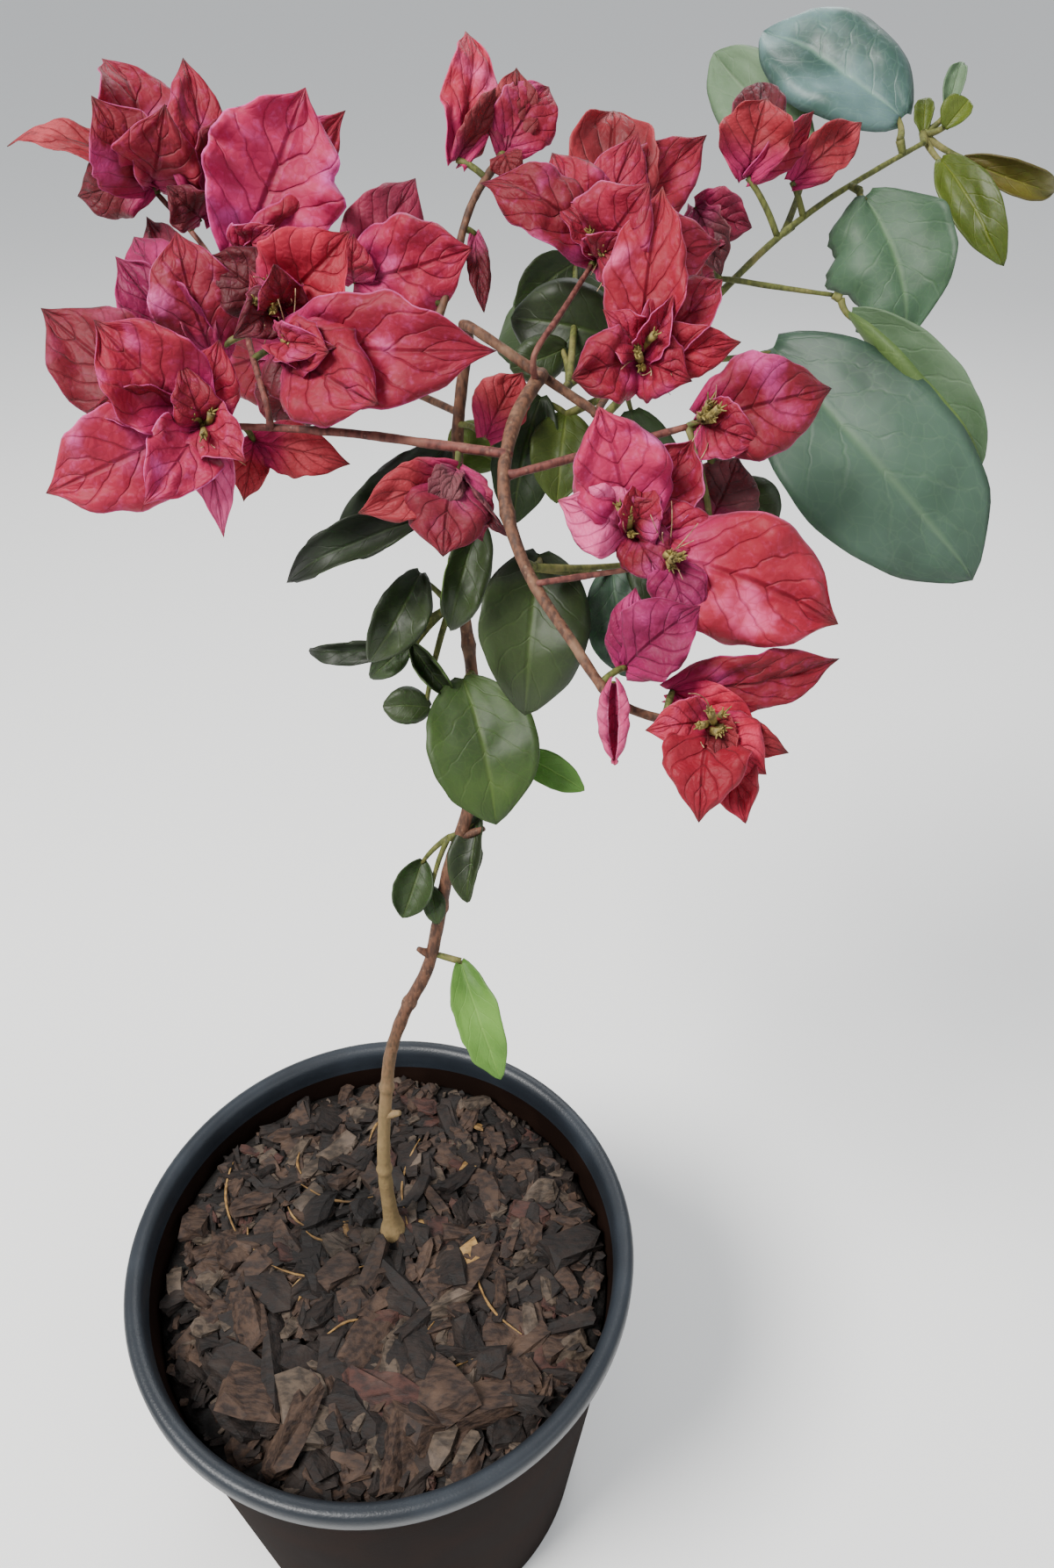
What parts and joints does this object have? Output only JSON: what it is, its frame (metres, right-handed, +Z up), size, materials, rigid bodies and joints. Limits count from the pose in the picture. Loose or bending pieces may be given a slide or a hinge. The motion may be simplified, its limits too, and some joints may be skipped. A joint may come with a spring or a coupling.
{
  "type": "potted bougainvillea",
  "caption": "Young bougainvillea with a thin leaning stem, clusters of pink and crimson bracts and broad leaves, in a round black nursery pot.",
  "frame": {"origin": "centre of the pot's flat underside", "axes": "+Z up along the pot's axis, -Y towards the front the crown faces, +X to the right seen from the front"},
  "size_m": [0.2789, 0.2331, 0.5241],
  "materials": {
    "pot": "satin",
    "potting_mix": "rough",
    "bark": "matte",
    "young_stem": "matte",
    "bract_pink": "matte",
    "bract_crimson": "matte",
    "bract_magenta": "matte",
    "bract_withered": "matte",
    "leaf_green": "satin",
    "leaf_dark": "satin",
    "leaf_young": "satin"
  },
  "bodies": {
    "root": {"pot": "pot", "potting_mix": "potting_mix", "stem": "bark", "bough_upright": "bark", "bough_right": "bark", "shoot_green": "young_stem", "bough_weeping": "bark", "arm_left": "bark", "arm_right": "bark", "twig_red": "bark", "twig_weeping_side": "bark", "twig_left": "bark", "bough_back_left": "bark", "bough_back_right": "bark", "twig_long_leaf": "young_stem", "head_left_tip": "bract_crimson", "head_left_loop": "bract_crimson", "head_pink_large": "bract_pink", "head_red_cup": "bract_crimson", "head_magenta_left": "bract_magenta", "head_left_low": "bract_crimson", "head_centre_left": "bract_pink", "head_centre_top": "bract_pink", "head_top": "bract_crimson", "head_top_small": "bract_crimson", "head_right_top": "bract_pink", "head_right_tall": "bract_pink", "head_right_mid": "bract_crimson", "head_curled": "bract_pink", "head_large_right": "bract_pink", "head_magenta_right": "bract_magenta", "head_flat_right": "bract_crimson", "head_red_low": "bract_crimson", "bract_hanging": "bract_pink", "head_dark_centre": "bract_withered", "bract_behind": "bract_crimson", "head_shoot_left": "bract_crimson", "bract_shoot_right": "bract_crimson", "head_withered_right": "bract_withered", "bract_under_arm": "bract_withered", "bract_dry_hanging": "bract_withered", "head_back_left": "bract_crimson", "head_back_right": "bract_pink", "bract_grey": "bract_withered", "leaves_shoot_tip": "leaf_young", "leaf_blue_top": "leaf_green", "leaf_pale_back": "leaf_young", "leaf_torn": "leaf_green", "leaf_folded": "leaf_green", "leaf_broad_right": "leaf_green", "leaves_behind_centre": "leaf_dark", "leaves_centre_olive": "leaf_green", "leaves_dark_left": "leaf_dark", "leaves_dark_low": "leaf_dark", "leaves_centre_low": "leaf_dark", "leaf_front_green": "leaf_green", "leaves_stem_top": "leaf_dark", "leaf_low_pale": "leaf_young", "leaves_right_small": "leaf_dark", "leaves_back": "leaf_green"}
  },
  "joints": []
}
